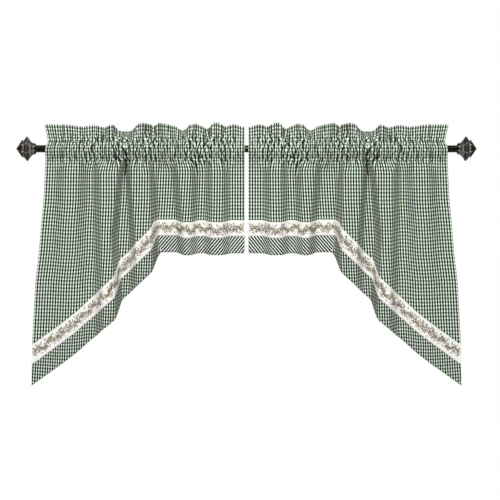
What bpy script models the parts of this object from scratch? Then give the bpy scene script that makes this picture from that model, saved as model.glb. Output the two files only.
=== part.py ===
"""Swag and tail drape: a mirrored pair of rod-pocket panels on a finialled rod.

Units are metres and +Z is up. The origin is on the rod's axis at mid-length, +X
runs along the rod and the cloth faces -Y. Each half is three sheets sewn edge to
edge: a check panel with a ruffled heading, a cream band and a bias-cut border.
The half at +X is worked out from the tables below, and the half at -X mirrors it.
"""
import math

import bmesh
import bpy
import numpy as np

# ---------------------------------------------------------------- rod and finials
ROD_DIAMETER = 0.0254
ROD_LENGTH = 1.479
ROD_SIDES = 24
ROD_SHARP_ANGLE = 40            # degrees; edges turned further than this stay sharp
FINIAL_SIDES = 8
FACE_GAP = 0.0003               # between the rod's end and a finial
MERGE_DISTANCE = 0.00005

# Turned outline of a finial: distance out from the rod's end, distance from axis.
FINIAL_OUTLINE = (
    # out, radius
    (0.0700, 0.0000),
    (0.0590, 0.0150),
    (0.0478, 0.0308),
    (0.0420, 0.0285),
    (0.0412, 0.0290),
    (0.0325, 0.0420),
    (0.0302, 0.0425),
    (0.0292, 0.0400),
    (0.0240, 0.0325),
    (0.0170, 0.0250),
    (0.0105, 0.0198),
    (0.0040, 0.0198),
    (0.0000, 0.0145),
    (0.0000, 0.0000),
)

# ---------------------------------------------------------------- one drape half
CLOTH_THICKNESS = 0.0015
LAYER_SPACING = 0.0021          # middle to middle where two layers lie together
SEAM_GAP = 0.0011               # between sheets sewn edge to edge
INNER_EDGE = 0.007              # the two halves part 14 mm at the middle
FLAT_WIDTH = 0.8636             # 34 in, before gathering
SHORT_DROP = 0.3705             # rod axis to hem, straight stretch
LONG_DROP = 0.822               # rod axis to the tail's point
STRAIGHT_HEM = 0.337            # flat length of the straight stretch of hem
TAIL_SLOPE = 0.66               # drop for each unit across, at the tail's point
CORNER_SLOPE = 0.96             # the same, where the straight stretch ends
BORDER_WIDTH = 0.060
BAND_WIDTH = 0.057
POCKET_TOP = 0.0245             # upper row of stitches, above the rod's axis
POCKET_BOTTOM = -0.0385         # lower row of stitches
HEADER_HEIGHT = 0.062           # ruffle above the upper stitches
TURN_UNDER = 0.008              # back layer's allowance below the lower stitches
POCKET_DEPTH = 0.019            # how far the pocket's layers stand off the heading
ROD_CLEARANCE = 0.015           # nearest that the pocket's middle comes to the axis
LAYERS_MEET = (-0.055, -0.120)  # heights between which the front layer takes the middle
CREST_DROP = 0.27               # how much lower a fold's crest hangs, per unit of depth
CREST_START = (-0.060, -0.260)  # heights between which the crests begin to sag

# The hung panel's width from its inner to its outer edge.
EDGE_TABLE = (
    # height, width
    (-0.828, 0.745),
    (-0.672, 0.743),
    (-0.560, 0.737),
    (-0.460, 0.732),
    (-0.356, 0.720),
    (-0.250, 0.712),
    (-0.180, 0.705),
    (-0.040, 0.699),
    (0.090, 0.700),
)

# The outer edge alone draws in at the upper stitches and flares at the top.
FLARE_TABLE = (
    # height, outward shift
    (0.000, 0.000),
    (0.025, -0.009),
    (0.087, 0.005),
)
FLARE_POWER = 8

# Flanks of the long folds, from the inner edge outward. Each row is one flank: its
# middle's place across and its step to the front at three drops below the rod, and
# its width at the first and the last.
FOLD_DROPS = (0.040, 0.300, 0.550)
FOLD_TABLE = (
    # place at heading, middle, hem; width at heading, hem; step at heading, middle, hem
    (0.065, 0.065, 0.065, 0.036, 0.036, 0.028, 0.024, 0.014),
    (0.125, 0.128, 0.130, 0.036, 0.036, -0.028, -0.024, -0.014),
    (0.174, 0.178, 0.178, 0.034, 0.034, 0.030, 0.025, 0.015),
    (0.248, 0.226, 0.223, 0.036, 0.036, -0.030, -0.034, -0.034),
    (0.322, 0.316, 0.312, 0.036, 0.030, 0.034, 0.044, 0.042),
    (0.413, 0.394, 0.389, 0.026, 0.040, -0.032, -0.032, -0.018),
    (0.431, 0.456, 0.440, 0.026, 0.030, 0.032, 0.046, 0.050),
    (0.521, 0.514, 0.508, 0.040, 0.044, -0.028, -0.030, -0.026),
    (0.561, 0.574, 0.566, 0.044, 0.060, 0.032, 0.028, 0.012),
    (0.645, 0.652, 0.656, 0.046, 0.070, -0.024, -0.018, -0.006),
)
INNER_DEPTH = -0.009            # depth of the cloth at its inner edge
HEADING_FOLD_SHARE = 0.3        # how much of the long folds shows in the heading
FOLD_START = (-0.031, -0.064)   # heights between which the long folds deepen
GATHER_FADE = (-0.040, -0.095)  # heights between which the gathers die out

# Gathers on the rod, from the inner edge outward: each one's valley.
GATHER_TABLE = (
    # across, depth
    (0.028, 0.0030),
    (0.067, 0.0040),
    (0.098, 0.0030),
    (0.130, 0.0045),
    (0.172, 0.0055),
    (0.218, 0.0050),
    (0.250, 0.0045),
    (0.285, 0.0085),
    (0.324, 0.0065),
    (0.362, 0.0075),
    (0.416, 0.0125),
    (0.454, 0.0070),
    (0.498, 0.0060),
    (0.531, 0.0026),
    (0.563, 0.0030),
    (0.603, 0.0035),
    (0.647, 0.0035),
    (0.682, 0.0030),
)

# Dips of the ruffle's top edge, where the heading leans back.
DIP_TABLE = (
    # across, dip
    (0.000, 0.009),
    (0.037, 0.001),
    (0.068, 0.007),
    (0.098, -0.004),
    (0.111, -0.003),
    (0.121, 0.010),
    (0.133, 0.017),
    (0.144, 0.009),
    (0.174, -0.001),
    (0.194, 0.003),
    (0.206, 0.018),
    (0.218, 0.023),
    (0.228, 0.019),
    (0.248, 0.005),
    (0.298, -0.003),
    (0.322, 0.006),
    (0.334, 0.001),
    (0.360, -0.003),
    (0.375, 0.001),
    (0.400, 0.026),
    (0.440, 0.026),
    (0.462, 0.003),
    (0.495, 0.011),
    (0.530, 0.003),
    (0.573, 0.009),
    (0.608, 0.004),
    (0.630, 0.002),
    (0.700, 0.001),
)
LEAN_SHARE = 0.6                # part of a dip made by leaning, the rest by slumping

# Grid of a panel: where its rows lie.
BODY_ROWS = (0.0, 0.30, 0.55, 0.76, 0.90)
POCKET_ROWS = (-0.022, -0.0107, 0.0, 0.0107)
HEADER_ROWS = (0.0, 0.031, 0.062)
GRID_TURN = 0.25                # columns to each turn of the gathers' wave

# Steps of the tables that the hung surface is read from.
PROFILE_STEP = 0.0025
LEVEL_STEP = 0.01
WEFT_SAMPLES = 900
NORMAL_STEP = 0.001
FULLNESS_LIMIT = 3.0
FULLNESS_HALVINGS = 30

# Colour, roughness and metallic value of each finish.
FINISHES = {
    "check_cloth": ((0.30, 0.40, 0.33), 0.9, 0.0),
    "bias_check_cloth": ((0.24, 0.34, 0.27), 0.9, 0.0),
    "cream_band": ((0.86, 0.82, 0.72), 0.9, 0.0),
    "dark_bronze": ((0.045, 0.036, 0.030), 0.4, 0.9),
}


def columns(table):
    """Split a table into one array for each of its named columns."""
    return np.array(table, dtype=float).T


def smooth_step(start, end, value):
    share = np.clip((value - start) / (end - start), 0.0, 1.0)
    return share * share * (3.0 - 2.0 * share)


def eased(value, places, sizes):
    """Read a table with a soft slope at each of its points."""
    position = np.interp(value, places, np.arange(len(places)))
    index = np.clip(position.astype(int), 0, len(places) - 2)
    ease = 0.5 - 0.5 * np.cos(np.pi * (position - index))
    return sizes[index] + (sizes[index + 1] - sizes[index]) * ease


def panel_width(height):
    heights, widths = columns(EDGE_TABLE)
    return np.interp(height, heights, widths)


def fold_depth(across, height):
    """Depth of the long folds: a soft step at each flank, from the inner edge on."""
    total = np.full_like(across, INNER_DEPTH)
    for row in FOLD_TABLE:
        place = np.interp(-height, FOLD_DROPS, row[0:3])
        width = np.interp(-height, (FOLD_DROPS[0], FOLD_DROPS[-1]), row[3:5])
        step = np.interp(-height, FOLD_DROPS, row[5:8])
        total = total + step * smooth_step(place - width / 2, place + width / 2, across)
    return total


def gather_phase(across, height):
    """Turns of the gathers' wave: a quarter turn short of whole at each valley."""
    valleys = columns(GATHER_TABLE)[0]
    places = np.concatenate([[0.0], valleys, [EDGE_TABLE[-1][1]]])
    turns = np.concatenate([[0.25], np.arange(len(valleys)) + 0.75, [len(valleys) + 0.25]])
    return np.interp(across * places[-1] / panel_width(height), places, turns)


def gather_depth(across, height):
    valleys, sizes = columns(GATHER_TABLE)
    phase = gather_phase(across, height)
    size = np.interp(phase, np.arange(len(valleys)) + 0.75, sizes)
    return size * np.sin(2 * np.pi * phase)


def cross_section(height, fullness):
    """One level of the cloth: place across, depth, and length along the weft."""
    across = np.linspace(0.0, panel_width(height), WEFT_SAMPLES)
    folds = smooth_step(*FOLD_START, height)
    gathers = 1.0 - smooth_step(*GATHER_FADE, height)
    fold_share = HEADING_FOLD_SHARE + (fullness - HEADING_FOLD_SHARE) * folds
    depth = fold_share * fold_depth(across, height)
    depth = depth + fullness * gathers * gather_depth(across, height)
    steps = np.hypot(np.diff(across), np.diff(depth))
    return across, depth, np.concatenate([[0.0], np.cumsum(steps)])


def level_profile(height):
    """Deepen the folds at one level until the whole flat width is used up."""
    low, high = 0.0, FULLNESS_LIMIT
    for _ in range(FULLNESS_HALVINGS):
        middle = (low + high) / 2
        if cross_section(height, middle)[2][-1] < FLAT_WIDTH:
            low = middle
        else:
            high = middle
    across, depth, length = cross_section(height, low)
    length = length * FLAT_WIDTH / length[-1]
    flat = np.arange(0.0, FLAT_WIDTH + PROFILE_STEP, PROFILE_STEP)
    return np.interp(flat, length, across), np.interp(flat, length, depth)


class Hang:
    """The cloth's middle surface, read by flat place across and height."""

    def __init__(self):
        drop = LONG_DROP + 2 * LEVEL_STEP + POCKET_BOTTOM
        self.levels = POCKET_BOTTOM - np.arange(0.0, drop, LEVEL_STEP)
        profiles = [level_profile(height) for height in self.levels]
        self.across = np.array([profile[0] for profile in profiles])
        self.depth = np.array([profile[1] for profile in profiles])

    def read(self, flat, height):
        row = np.clip((self.levels[0] - height) / LEVEL_STEP, 0, len(self.levels) - 1.001)
        column = np.clip(flat / PROFILE_STEP, 0, self.across.shape[1] - 1.001)
        i, j = row.astype(int), column.astype(int)
        a, b = row - i, column - j
        found = []
        for grid in (self.across, self.depth):
            upper = grid[i, j] * (1 - b) + grid[i, j + 1] * b
            lower = grid[i + 1, j] * (1 - b) + grid[i + 1, j + 1] * b
            found.append(upper * (1 - a) + lower * a)
        return found

    def middle(self, flat, rise):
        """Point at a flat place across and a rise along the cloth from the axis."""
        flat, rise = np.broadcast_arrays(np.asarray(flat, float), np.asarray(rise, float))
        across, depth = self.read(flat, rise)
        height = np.minimum(rise, POCKET_TOP)
        header = np.maximum(rise - POCKET_TOP, 0.0)
        dip = eased(across, *columns(DIP_TABLE))
        shorter = 1.0 - LEAN_SHARE * np.maximum(dip, 0.0) / HEADER_HEIGHT
        lean = np.arccos(np.clip(shorter, -1.0, 1.0))
        slump = 1.0 - (dip - LEAN_SHARE * np.maximum(dip, 0.0)) / HEADER_HEIGHT
        height = height + header * slump * np.cos(lean)
        back = header * slump * np.sin(lean)
        flare = np.interp(rise, *columns(FLARE_TABLE))
        across = across + flare * (flat / FLAT_WIDTH) ** FLARE_POWER
        loose = smooth_step(*CREST_START, rise)
        height = height - CREST_DROP * loose * depth
        return np.stack([across, back - depth, height], axis=-1)

    def square(self, flat, rise):
        """Along a row, the step that moves both neighbouring facets out by one."""
        points = self.middle(flat, rise)
        weft = np.diff(points, axis=0)
        warp = self.middle(flat, rise + NORMAL_STEP) - self.middle(flat, rise - NORMAL_STEP)
        before = np.cross(np.concatenate([weft[:1], weft]), warp)
        after = np.cross(np.concatenate([weft, weft[-1:]]), warp)
        before /= np.linalg.norm(before, axis=-1, keepdims=True)
        after /= np.linalg.norm(after, axis=-1, keepdims=True)
        return (before + after) / (1.0 + np.sum(before * after, axis=-1, keepdims=True))

    def layer(self, flat, rise, side):
        """A row of points on the front (1) or back (-1) layer, clear of the rod."""
        parted = 1.0 - smooth_step(*LAYERS_MEET, rise)
        offset = side * parted * LAYER_SPACING / 2
        point = self.middle(flat, rise) + self.square(flat, rise) * np.expand_dims(offset, -1)
        above = np.sqrt(np.clip(1.0 - (rise / POCKET_TOP) ** 2, 0.0, 1.0))
        below = np.cos(np.clip(rise / POCKET_BOTTOM, 0.0, 1.0) * np.pi / 2)
        point[..., 1] -= side * POCKET_DEPTH * np.where(rise > 0.0, above, below)
        around_rod = np.sqrt(np.maximum(ROD_CLEARANCE ** 2 - point[..., 2] ** 2, 0.0))
        pushed = -side * np.maximum(-side * point[..., 1], around_rod)
        point[..., 1] = np.where(around_rod > 0.0, pushed, point[..., 1])
        return point


def cut_line(flat, width):
    """A line parallel to the hem, the given width above it on the flat cloth.

    The hem runs straight from the inner edge, then slopes down to the tail's point.
    """
    run = FLAT_WIDTH - STRAIGHT_HEM
    share = np.clip((FLAT_WIDTH - flat) / run, 0.0, 1.0)
    steady = (LONG_DROP - SHORT_DROP) / run / ((TAIL_SLOPE + CORNER_SLOPE) / 2)
    slope = steady * (TAIL_SLOPE + (CORNER_SLOPE - TAIL_SLOPE) * share)
    rise = steady * (TAIL_SLOPE * share + (CORNER_SLOPE - TAIL_SLOPE) * share ** 2 / 2) * run
    sloping = rise - LONG_DROP + width * np.sqrt(1.0 + slope ** 2)
    return np.minimum(sloping, width - SHORT_DROP)


def flat_columns():
    """Grid columns: the two edges, and four places in each gather's wave."""
    across, _, length = cross_section(POCKET_BOTTOM, 1.0)
    phase = gather_phase(across, POCKET_BOTTOM)
    turns = np.arange(phase[0] + GRID_TURN / 2, phase[-1], GRID_TURN)
    flat = np.interp(np.concatenate([phase[:1], turns, phase[-1:]]), phase, length)
    return flat * FLAT_WIDTH / length[-1]


def panel_points(hang, flat):
    """Rows of points from the cut edge up, over the top fold and down the back."""
    bottom = cut_line(flat, BORDER_WIDTH + BAND_WIDTH + SEAM_GAP / 2)
    rows = []
    body_top = POCKET_BOTTOM - TURN_UNDER
    for share in BODY_ROWS:
        rows.append(hang.layer(flat, bottom + (body_top - bottom) * share, 1))
    gathered = (body_top, POCKET_BOTTOM) + POCKET_ROWS
    gathered = gathered + tuple(POCKET_TOP + row for row in HEADER_ROWS)
    for rise in gathered:
        rows.append(hang.layer(flat, np.full_like(flat, rise), 1))
    top = np.full_like(flat, POCKET_TOP + HEADER_HEIGHT)
    below = hang.middle(flat, top - LAYER_SPACING / 2)
    rows.append(2 * hang.middle(flat, top) - below)
    for rise in reversed(gathered):
        rows.append(hang.layer(flat, np.full_like(flat, rise), -1))
    return np.array(rows)


def strip_points(hang, flat, lower, upper):
    """Two rows of points between two lines parallel to the hem."""
    return np.array([hang.middle(flat, cut_line(flat, width)) for width in (lower, upper)])


def new_material(name):
    colour, roughness, metallic = FINISHES[name]
    material = bpy.data.materials.new(name)
    material.use_nodes = True
    shader = material.node_tree.nodes["Principled BSDF"]
    shader.inputs["Base Color"].default_value = (*colour, 1.0)
    shader.inputs["Roughness"].default_value = roughness
    shader.inputs["Metallic"].default_value = metallic
    return material


def cloth_sheet(name, points, side, material, collection):
    """A grid bent to the points, thickened evenly to both sides."""
    rows, count = points.shape[:2]
    grid = bmesh.new()
    bmesh.ops.create_grid(grid, x_segments=count - 1, y_segments=rows - 1, size=0.5)
    for vertex in grid.verts:
        column = round((vertex.co.x + 0.5) * (count - 1))
        row = round((vertex.co.y + 0.5) * (rows - 1))
        x, y, z = points[row, column]
        vertex.co = (side * (INNER_EDGE + x), y, z)
    if side < 0:
        bmesh.ops.reverse_faces(grid, faces=grid.faces)
    bmesh.ops.triangulate(grid, faces=grid.faces, quad_method="SHORT_EDGE")
    mesh = bpy.data.meshes.new(name)
    grid.to_mesh(mesh)
    grid.free()
    mesh.shade_smooth()
    mesh.materials.append(material)
    sheet = bpy.data.objects.new(name, mesh)
    collection.objects.link(sheet)
    thicken = sheet.modifiers.new("cloth", "SOLIDIFY")
    thicken.thickness = CLOTH_THICKNESS
    thicken.offset = 0.0
    return sheet


def make_half(hang, suffix, side, materials, collection):
    flat = flat_columns()
    gap = SEAM_GAP / 2
    band_top = BORDER_WIDTH + BAND_WIDTH
    border = strip_points(hang, flat, 0.0, BORDER_WIDTH - gap)
    band = strip_points(hang, flat, BORDER_WIDTH + gap, band_top - gap)
    panel = panel_points(hang, flat)
    cloth_sheet("panel_" + suffix, panel, side, materials["check_cloth"], collection)
    cloth_sheet("band_" + suffix, band, side, materials["cream_band"], collection)
    cloth_sheet("border_" + suffix, border, side, materials["bias_check_cloth"], collection)


def make_rod(material, collection):
    bpy.ops.mesh.primitive_cylinder_add(
        vertices=ROD_SIDES, radius=ROD_DIAMETER / 2, depth=ROD_LENGTH,
        rotation=(0.0, math.pi / 2, 0.0))
    rod = bpy.context.object
    rod.name = "rod"
    rod.data.name = "rod"
    rod.data.shade_smooth()
    rod.data.set_sharp_from_angle(angle=math.radians(ROD_SHARP_ANGLE))
    rod.data.materials.append(material)
    for home in rod.users_collection:
        home.objects.unlink(rod)
    collection.objects.link(rod)


def make_finial(name, side, material, collection):
    """An eight-sided turned finial, flat side to the front, out from the rod's end."""
    turn = math.pi / FINIAL_SIDES
    stretch = 1.0 / math.cos(turn)
    points = []
    for out, radius in FINIAL_OUTLINE:
        corner = radius * stretch
        points.append((corner * math.cos(turn), corner * math.sin(turn), out))
    mesh = bpy.data.meshes.new(name)
    mesh.from_pydata(points, [(i, i + 1) for i in range(len(points) - 1)], [])
    mesh.materials.append(material)
    finial = bpy.data.objects.new(name, mesh)
    collection.objects.link(finial)
    finial.location = (side * (ROD_LENGTH / 2 + FACE_GAP), 0.0, 0.0)
    finial.rotation_euler = (0.0, side * math.pi / 2, 0.0)
    screw = finial.modifiers.new("turned", "SCREW")
    screw.steps = FINIAL_SIDES
    screw.render_steps = FINIAL_SIDES
    screw.use_merge_vertices = True
    screw.merge_threshold = MERGE_DISTANCE
    screw.use_smooth_shade = False


def main():
    for item in list(bpy.data.objects):
        bpy.data.objects.remove(item, do_unlink=True)
    collection = bpy.data.collections.new("swag_and_tail_drape")
    bpy.context.scene.collection.children.link(collection)
    materials = {name: new_material(name) for name in FINISHES}
    make_rod(materials["dark_bronze"], collection)
    hang = Hang()
    for suffix, side in (("left", -1.0), ("right", 1.0)):
        make_finial("finial_" + suffix, side, materials["dark_bronze"], collection)
        make_half(hang, suffix, side, materials, collection)


main()
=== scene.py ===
"""Looks of the swag and tail drape: gathered check cloth, a vine band, a bronze rod.

Units are metres in the frame's axes: +Z up, +X along the rod, the cloth faces -Y.
The folds come from the same tables as the solids, read on a finer grid, and the
puckers, creases, stitches and embroidery that the solids leave out are added here.
The half at +X is worked out from the tables, and the half at -X mirrors it.
"""
import math

import bpy
import numpy as np
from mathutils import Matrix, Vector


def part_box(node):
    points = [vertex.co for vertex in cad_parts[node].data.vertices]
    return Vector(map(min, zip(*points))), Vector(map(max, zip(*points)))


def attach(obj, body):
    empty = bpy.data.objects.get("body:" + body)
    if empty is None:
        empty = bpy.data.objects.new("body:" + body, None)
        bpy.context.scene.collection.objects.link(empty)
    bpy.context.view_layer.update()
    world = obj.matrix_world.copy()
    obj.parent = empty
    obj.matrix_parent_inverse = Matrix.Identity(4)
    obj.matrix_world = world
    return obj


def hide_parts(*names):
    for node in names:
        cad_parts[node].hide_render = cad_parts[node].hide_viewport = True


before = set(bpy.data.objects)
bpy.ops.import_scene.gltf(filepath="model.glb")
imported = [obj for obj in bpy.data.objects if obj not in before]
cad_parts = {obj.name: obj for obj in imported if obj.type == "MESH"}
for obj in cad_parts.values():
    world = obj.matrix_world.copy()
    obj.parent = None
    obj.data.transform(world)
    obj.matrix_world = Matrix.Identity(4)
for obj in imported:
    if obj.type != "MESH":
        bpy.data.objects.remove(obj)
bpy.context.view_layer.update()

# ==== sizes of the solids
SIDES = {"left": -1, "right": 1}  # sign of X, and way round a face
INNER_EDGE = 0.007  # the two halves part 14 mm at the middle
FLAT_WIDTH = 0.8636  # 34 in, before gathering
SHORT_DROP = 0.3705  # rod axis to hem, straight stretch
LONG_DROP = 0.822  # rod axis to the tail's point
STRAIGHT_HEM = 0.337  # flat length of the straight stretch of hem
TAIL_SLOPE = 0.66  # drop for each unit across, at the tail's point
CORNER_SLOPE = 0.96  # the same, where the straight stretch ends
SLOPE_RUN = FLAT_WIDTH - STRAIGHT_HEM
# What both slopes are multiplied by, so that the hem meets the straight stretch.
STEADY_SLOPE = (LONG_DROP - SHORT_DROP) / SLOPE_RUN / ((TAIL_SLOPE + CORNER_SLOPE) / 2)
BORDER_WIDTH = 0.060
BAND_WIDTH = 0.057
BAND_TOP = BORDER_WIDTH + BAND_WIDTH
POCKET_TOP = 0.0245  # upper row of stitches, above the rod's axis
POCKET_BOTTOM = -0.0385  # lower row of stitches
HEADER_HEIGHT = 0.062  # ruffle above the upper stitches
RUFFLE_TOP = POCKET_TOP + HEADER_HEIGHT
TURN_UNDER = 0.008  # back layer's allowance below the lower stitches
POCKET_DEPTH = 0.019  # how far the pocket's layers stand off the heading
ROD_CLEARANCE = 0.015  # nearest that the pocket's middle comes to the axis
LAYER_SPACING = 0.0021  # middle to middle where two layers lie together
LAYERS_MEET = (-0.055, -0.120)  # heights between which the front layer takes the middle
CREST_DROP = 0.27  # how much lower a fold's crest hangs, per unit of depth
CREST_START = (-0.060, -0.260)  # heights between which the crests begin to sag

# The hung panel's width from its inner to its outer edge.
EDGE_TABLE = (
    # height, width
    (-0.828, 0.745),
    (-0.672, 0.743),
    (-0.560, 0.737),
    (-0.460, 0.732),
    (-0.356, 0.720),
    (-0.250, 0.712),
    (-0.180, 0.705),
    (-0.040, 0.699),
    (0.090, 0.700),
)

# The outer edge alone draws in at the upper stitches and flares at the top.
FLARE_TABLE = (
    # height, outward shift
    (0.000, 0.000),
    (0.025, -0.009),
    (0.087, 0.005),
)
FLARE_POWER = 8

# Flanks of the long folds, from the inner edge outward. Each row is one flank: its
# middle's place across and its step to the front at three drops below the rod, and
# its width at the first and the last.
FOLD_DROPS = (0.040, 0.300, 0.550)
FOLD_TABLE = (
    # place at heading, middle, hem; width at heading, hem; step at heading, middle, hem
    (0.065, 0.065, 0.065, 0.036, 0.036, 0.028, 0.024, 0.014),
    (0.125, 0.128, 0.130, 0.036, 0.036, -0.028, -0.024, -0.014),
    (0.174, 0.178, 0.178, 0.034, 0.034, 0.030, 0.025, 0.015),
    (0.248, 0.226, 0.223, 0.036, 0.036, -0.030, -0.034, -0.034),
    (0.322, 0.316, 0.312, 0.036, 0.030, 0.034, 0.044, 0.042),
    (0.413, 0.394, 0.389, 0.026, 0.040, -0.032, -0.032, -0.018),
    (0.431, 0.456, 0.440, 0.026, 0.030, 0.032, 0.046, 0.050),
    (0.521, 0.514, 0.508, 0.040, 0.044, -0.028, -0.030, -0.026),
    (0.561, 0.574, 0.566, 0.044, 0.060, 0.032, 0.028, 0.012),
    (0.645, 0.652, 0.656, 0.046, 0.070, -0.024, -0.018, -0.006),
)
INNER_DEPTH = -0.009  # depth of the cloth at its inner edge
HEADING_FOLD_SHARE = 0.3  # how much of the long folds shows in the heading
FOLD_START = (-0.031, -0.064)  # heights between which the long folds deepen
GATHER_FADE = (-0.040, -0.095)  # heights between which the gathers die out

# Gathers on the rod, from the inner edge outward: each one's valley.
GATHER_TABLE = (
    # across, depth
    (0.028, 0.0030),
    (0.067, 0.0040),
    (0.098, 0.0030),
    (0.130, 0.0045),
    (0.172, 0.0055),
    (0.218, 0.0050),
    (0.250, 0.0045),
    (0.285, 0.0085),
    (0.324, 0.0065),
    (0.362, 0.0075),
    (0.416, 0.0125),
    (0.454, 0.0070),
    (0.498, 0.0060),
    (0.531, 0.0026),
    (0.563, 0.0030),
    (0.603, 0.0035),
    (0.647, 0.0035),
    (0.682, 0.0030),
)

# Dips of the ruffle's top edge, where the heading leans back.
DIP_TABLE = (
    # across, dip
    (0.000, 0.009),
    (0.037, 0.001),
    (0.068, 0.007),
    (0.098, -0.004),
    (0.111, -0.003),
    (0.121, 0.010),
    (0.133, 0.017),
    (0.144, 0.009),
    (0.174, -0.001),
    (0.194, 0.003),
    (0.206, 0.018),
    (0.218, 0.023),
    (0.228, 0.019),
    (0.248, 0.005),
    (0.298, -0.003),
    (0.322, 0.006),
    (0.334, 0.001),
    (0.360, -0.003),
    (0.375, 0.001),
    (0.400, 0.026),
    (0.440, 0.026),
    (0.462, 0.003),
    (0.495, 0.011),
    (0.530, 0.003),
    (0.573, 0.009),
    (0.608, 0.004),
    (0.630, 0.002),
    (0.700, 0.001),
)
LEAN_SHARE = 0.6  # part of a dip made by leaning, the rest by slumping

# Turned outline of a finial: distance out from the rod's end, distance from axis.
FINIAL_OUTLINE = (
    # out, radius
    (0.0700, 0.0000),
    (0.0590, 0.0150),
    (0.0478, 0.0308),
    (0.0420, 0.0285),
    (0.0412, 0.0290),
    (0.0325, 0.0420),
    (0.0302, 0.0425),
    (0.0292, 0.0400),
    (0.0240, 0.0325),
    (0.0170, 0.0250),
    (0.0105, 0.0198),
    (0.0040, 0.0198),
    (0.0000, 0.0145),
    (0.0000, 0.0000),
)
FINIAL_SIDES = 8
FINIAL_BEVEL = 0.0006
FACE_GAP = 0.0003

# ==== fine cloth
CLOTH = 0.0007  # thickness of one layer
FOLDED_CLOTH = 0.0011  # thickness where the border is turned and doubled
BAND_LIFT = 0.0011  # the band lies on the front of the seam
SEAM_LAP = 0.004  # panel and border reach this far behind the band
PANEL_COLUMNS = 330
STRIP_COLUMNS = 420
STRIP_ROWS = 12
BODY_TOP = -0.175  # above this height the rows lie closer
BODY_ROWS = 32
GATHERED_ROWS = 27
POCKET_ROWS = 24
HEADER_ROWS = 20
FOLD_ROWS = 3  # rows round the fold at the ruffle's top
FOLD_AIM = 0.002  # length of cloth that shows which way the fold points

# Steps of the tables that the hung surface is read from.
PROFILE_STEP = 0.0015
LEVEL_STEP = 0.005
WEFT_SAMPLES = 1400
NORMAL_STEP = 0.0008
FULLNESS_LIMIT = 3.0
FULLNESS_HALVINGS = 26

# Puckers that each row of stitches draws up.
PUCKER_ROWS = (
    # shortest wave, longest wave, seed, height, depth, reach above, reach below
    (0.008, 0.017, 11, POCKET_TOP, 0.0015, 0.016, 0.014),
    (0.008, 0.019, 23, POCKET_BOTTOM, 0.0015, 0.014, 0.026),
)
PUCKER_SLANT = 0.55  # sideways drift of a pucker for each unit of height
PUCKER_SLANT_WAVE = 0.097
FRILL = (0.020, 0.044, 7)  # of the top edge: shortest and longest wave, seed
FRILL_DEPTH = 0.0016
WAVE_SIZES = (0.35, 1.0)  # least and greatest share of a small wave's depth

# Crumpling of the gathered cloth: many small waves that lean either way.
CRUMPLE_WAVES = 18
CRUMPLE_LENGTHS = (0.010, 0.026)  # shortest and longest wave
CRUMPLE_LEAN = 0.95  # furthest that a wave turns from upright folds
CRUMPLE_OUT = 0.0022  # spread outward
CRUMPLE_ASIDE = 0.0017  # spread across the cloth
CRUMPLE_UP = 0.00102  # spread up the cloth
CRUMPLE_EDGE = 0.02  # nearer to a side edge than this, the spread dies out
CRUMPLE_SEED = 41
CRUMPLE_TABLE = (
    # height, strength
    (-0.078, 0.00),
    (-0.054, 0.22),
    (-0.038, 0.85),
    (-0.014, 0.62),
    (0.012, 0.80),
    (0.026, 1.00),
    (0.046, 0.42),
    (0.066, 0.16),
    (0.087, 0.08),
)
CRUMPLE_PATCHES = (
    # across the heading, strength
    (0.030, 0.50),
    (0.050, 1.10),
    (0.075, 1.20),
    (0.095, 0.60),
    (0.110, 1.00),
    (0.145, 1.40),
    (0.175, 1.10),
    (0.200, 1.00),
    (0.225, 0.50),
    (0.300, 0.50),
    (0.325, 0.90),
    (0.350, 1.30),
    (0.372, 0.90),
    (0.395, 0.70),
    (0.418, 1.50),
    (0.455, 1.40),
    (0.470, 0.50),
    (0.490, 0.35),
    (0.508, 0.70),
    (0.530, 1.20),
    (0.548, 1.10),
    (0.570, 0.70),
    (0.600, 0.70),
    (0.630, 0.45),
    (0.660, 0.30),
)

# Creases, listed one by one from the inner edge outward.
CREASE_TABLE = (
    # across, top, bottom, slant, half width, depth
    (0.065, -0.005, -0.085, 0.05, 0.0045, 0.0040),
    (0.077, 0.062, 0.020, 0.10, 0.0060, 0.0040),
    (0.110, 0.032, 0.004, -0.70, 0.0045, 0.0040),
    (0.128, 0.078, 0.036, 0.05, 0.0050, 0.0060),
    (0.138, 0.030, 0.012, 0.80, 0.0045, 0.0035),
    (0.176, -0.018, -0.100, 0.02, 0.0040, 0.0100),
    (0.209, 0.034, 0.016, 0.90, 0.0050, 0.0040),
    (0.219, 0.070, 0.022, -0.45, 0.0050, 0.0050),
    (0.246, 0.026, -0.030, 0.25, 0.0045, 0.0045),
    (0.267, 0.068, 0.026, 0.10, 0.0045, 0.0045),
    (0.268, -0.018, -0.080, -0.05, 0.0045, 0.0040),
    (0.322, 0.070, -0.012, 0.05, 0.0050, 0.0050),
    (0.322, -0.014, -0.120, 0.04, 0.0080, 0.0045),
    (0.417, 0.000, -0.100, 0.03, 0.0045, 0.0110),
    (0.440, 0.040, -0.004, -0.55, 0.0045, 0.0045),
    (0.452, 0.030, 0.000, 0.75, 0.0045, 0.0040),
    (0.497, 0.062, 0.010, 0.05, 0.0055, 0.0065),
    (0.516, -0.004, -0.060, -0.20, 0.0045, 0.0040),
    (0.540, 0.016, -0.022, 0.45, 0.0045, 0.0040),
    (0.603, 0.060, 0.014, 0.15, 0.0055, 0.0045),
    (0.647, -0.004, -0.050, -0.10, 0.0050, 0.0035),
    (0.652, 0.070, 0.022, 0.12, 0.0055, 0.0045),
)

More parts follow.
